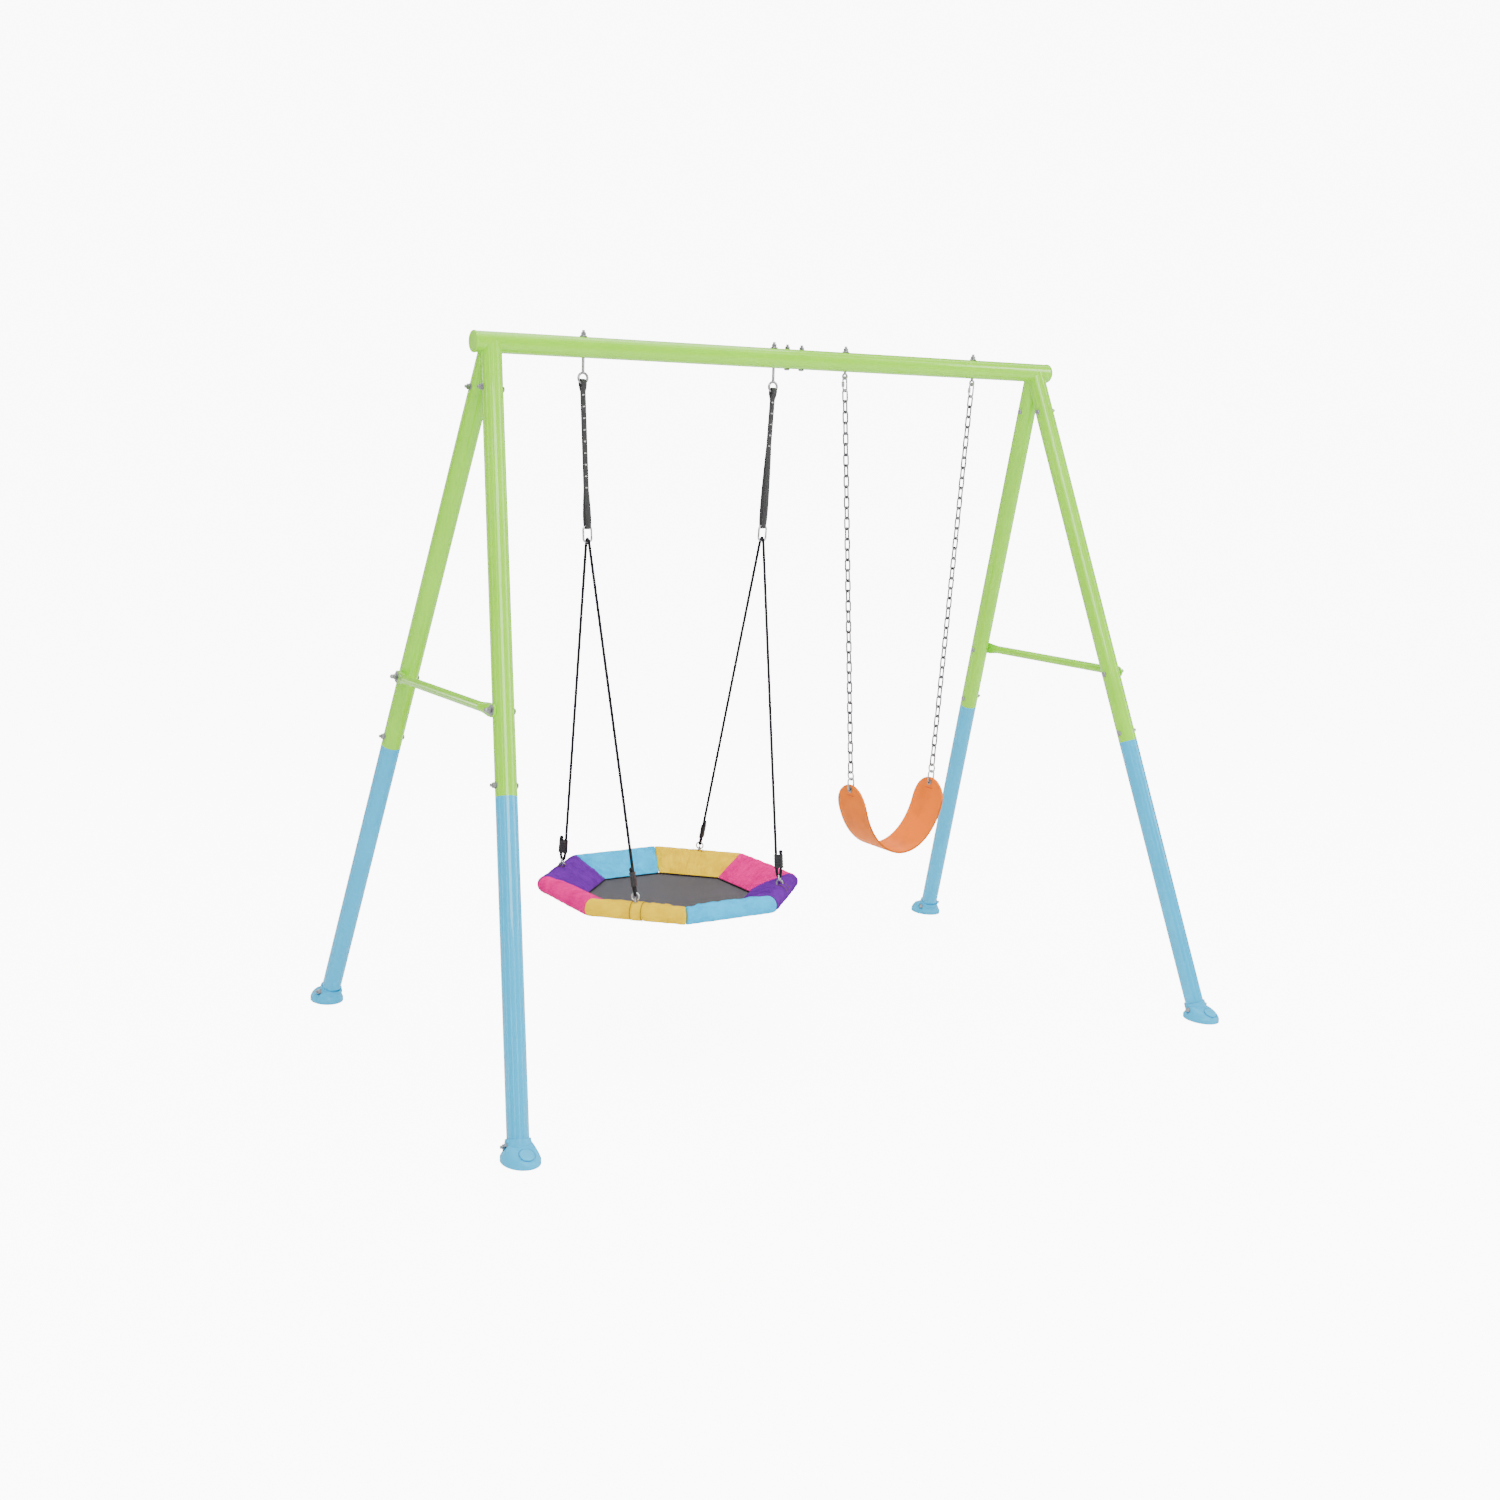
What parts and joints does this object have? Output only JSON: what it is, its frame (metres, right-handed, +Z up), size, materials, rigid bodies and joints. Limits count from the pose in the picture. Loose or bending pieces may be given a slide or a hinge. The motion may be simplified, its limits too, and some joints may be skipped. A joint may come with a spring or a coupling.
{
  "type": "swing set",
  "caption": "A-frame swing set in painted steel tube with a padded octagonal saucer swing on ropes and a flexible belt swing on chains.",
  "frame": {"origin": "on the ground under the middle of the top beam", "axes": "+X along the top beam towards the belt swing, +Y to the back, +Z up"},
  "size_m": [2.322, 1.456, 1.934],
  "materials": {
    "green_paint": "glossy powder coat",
    "blue_paint": "glossy powder coat",
    "green_plastic": "moulded plastic",
    "blue_plastic": "moulded plastic",
    "zinc_steel": "zinc plated",
    "bright_steel": "polished",
    "galvanised_chain": "galvanised",
    "black_webbing": "woven nylon webbing",
    "black_rope": "braided rope",
    "black_plastic": "moulded plastic",
    "purple_fabric": "woven polyester",
    "pink_fabric": "woven polyester",
    "yellow_fabric": "woven polyester",
    "light_blue_fabric": "woven polyester",
    "grey_mesh": "tightly woven mesh",
    "orange_plastic": "smooth flexible moulding"
  },
  "bodies": {
    "root": {"beam_left": "green_paint", "beam_right": "green_paint", "beam_sleeve": "zinc_steel", "beam_end_cap_left": "green_plastic", "beam_end_cap_right": "green_plastic", "brace_left": "green_paint", "brace_right": "green_paint", "leg_bolts": "zinc_steel", "brace_bolts": "zinc_steel", "foot_bolts": "zinc_steel", "splice_bolts": "zinc_steel", "bolt_washers": "zinc_steel", "hex_nuts": "zinc_steel", "brace_washers": "zinc_steel", "brace_cap_nuts": "zinc_steel", "saucer_eyebolts": "zinc_steel", "belt_eyebolts": "zinc_steel", "eyebolt_washers": "zinc_steel", "eyebolt_nuts": "zinc_steel", "upper_leg_front_left": "green_paint", "lower_leg_front_left": "blue_paint", "foot_front_left": "blue_plastic", "upper_leg_back_left": "green_paint", "lower_leg_back_left": "blue_paint", "foot_back_left": "blue_plastic", "upper_leg_front_right": "green_paint", "lower_leg_front_right": "blue_paint", "foot_front_right": "blue_plastic", "upper_leg_back_right": "green_paint", "lower_leg_back_right": "blue_paint", "foot_back_right": "blue_plastic"},
    "saucer_hanger": {"strap_left": "black_webbing", "strap_right": "black_webbing", "carabiner_left": "bright_steel", "carabiner_right": "bright_steel", "gate_pins": "zinc_steel"},
    "gate_left": {"carabiner_gate_left": "bright_steel"},
    "gate_right": {"carabiner_gate_right": "bright_steel"},
    "saucer_seat": {"rope_left": "black_rope", "rope_right": "black_rope", "rope_adjusters": "black_plastic", "rope_knots": "black_rope", "rim_rings": "bright_steel", "rim_tube_left": "zinc_steel", "rim_tube_right": "zinc_steel", "rim_connectors": "zinc_steel", "pads_purple": "purple_fabric", "pads_pink": "pink_fabric", "pads_yellow": "yellow_fabric", "pads_light_blue": "light_blue_fabric", "mat": "grey_mesh"},
    "belt_hanger": {"quick_links": "bright_steel", "quick_link_sleeves": "bright_steel", "chain_left": "galvanised_chain", "chain_right": "galvanised_chain"},
    "belt_sling": {"belt_end_rings": "bright_steel", "belt_hooks": "bright_steel", "belt_seat": "orange_plastic", "belt_eyelets": "zinc_steel"}
  },
  "joints": [
    {"name": "saucer_swing", "type": "hinge", "parent": "root", "child": "saucer_hanger", "pos_m": [-0.345, 0, 1.799], "axis": [1, 0, 0], "range_deg": [-45, 45]},
    {"name": "saucer_tilt", "type": "hinge", "parent": "saucer_hanger", "child": "saucer_seat", "pos_m": [-0.345, 0, 1.38751], "axis": [1, 0, 0], "range_deg": [-20, 20]},
    {"name": "carabiner_gate_left_open", "type": "hinge", "parent": "saucer_hanger", "child": "gate_left", "pos_m": [-0.60788, 0, 1.3971], "axis": [0, -1, 0], "range_deg": [0, 20], "stiffness_Nm_per_rad": 0.05, "springref_deg": -11.46},
    {"name": "carabiner_gate_right_open", "type": "hinge", "parent": "saucer_hanger", "child": "gate_right", "pos_m": [-0.05815, 0, 1.3959], "axis": [0, -1, 0], "range_deg": [0, 20], "stiffness_Nm_per_rad": 0.05, "springref_deg": -11.46},
    {"name": "belt_swing", "type": "hinge", "parent": "root", "child": "belt_hanger", "pos_m": [0.425, 0, 1.8435], "axis": [1, 0, 0], "range_deg": [-50, 50]},
    {"name": "belt_tilt", "type": "hinge", "parent": "belt_hanger", "child": "belt_sling", "pos_m": [0.425, 0, 0.69358], "axis": [1, 0, 0], "range_deg": [-30, 30]}
  ]
}
